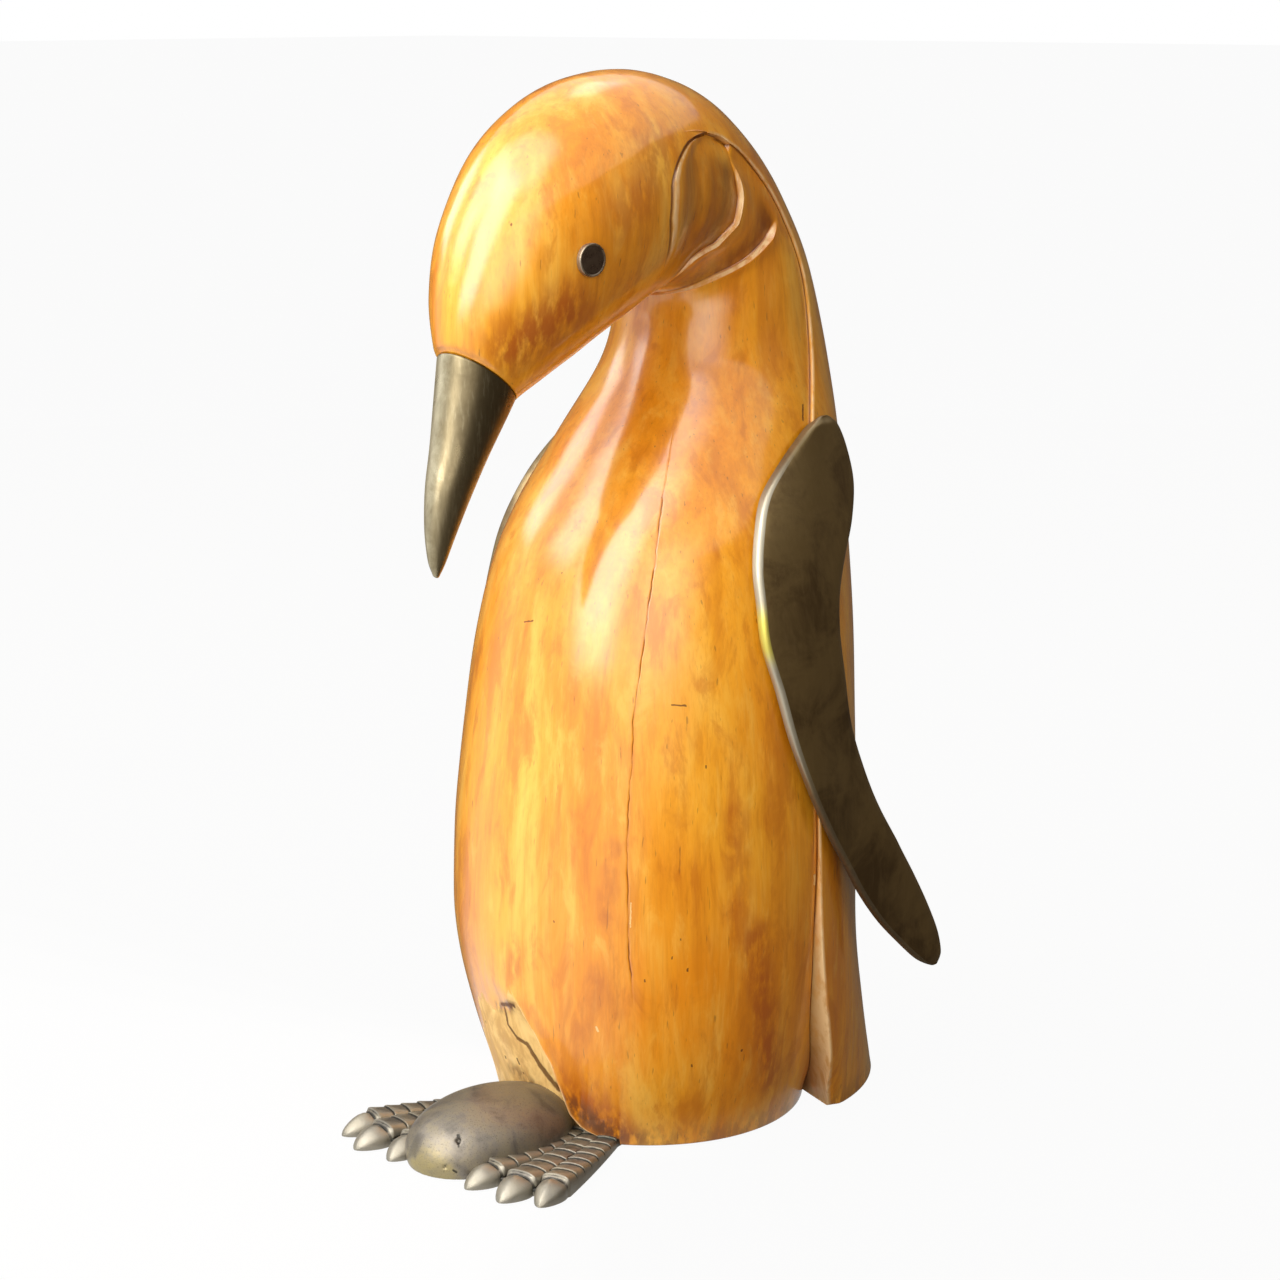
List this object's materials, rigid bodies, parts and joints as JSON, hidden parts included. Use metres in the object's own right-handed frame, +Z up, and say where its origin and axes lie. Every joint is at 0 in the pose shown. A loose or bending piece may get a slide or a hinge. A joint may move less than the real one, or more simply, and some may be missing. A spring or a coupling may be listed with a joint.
{
  "type": "penguin figurine",
  "caption": "Standing carved wooden penguin that bends its head over an egg held on its feet, with cast brass beak, eyes, flippers, feet and egg.",
  "frame": {"origin": "middle of the wooden block's flat underside, on the surface that the figure stands on", "axes": "+Z up to the crown, the bird faces -Y, its own left flipper is on +X"},
  "size_m": [0.213, 0.2845, 0.5],
  "materials": {
    "carved_wood": "honey-coloured hardwood under glossy lacquer, with drying cracks and small nicks",
    "beak_brass": "polished brass, aged grey-brown",
    "eye_brass": "dark patina with a worn rim",
    "flipper_brass": "brass with dark olive-brown patina, worn bright on the front edge",
    "foot_brass": "cast brass, aged pewter grey with yellow worn spots",
    "steel": "plain steel rod and screws"
  },
  "bodies": {
    "root": {"body": "carved_wood", "beak": "beak_brass", "beak_rod": "steel", "eye_left": "eye_brass", "eye_right": "eye_brass", "flipper_left": "flipper_brass", "flipper_right": "flipper_brass", "foot_left": "foot_brass", "foot_right": "foot_brass", "egg": "foot_brass", "flipper_stud_1_left": "steel", "flipper_stud_1_right": "steel", "flipper_stud_2_left": "steel", "flipper_stud_2_right": "steel", "foot_screw_1_left": "steel", "foot_screw_1_right": "steel", "foot_screw_2_left": "steel", "foot_screw_2_right": "steel"}
  },
  "joints": []
}
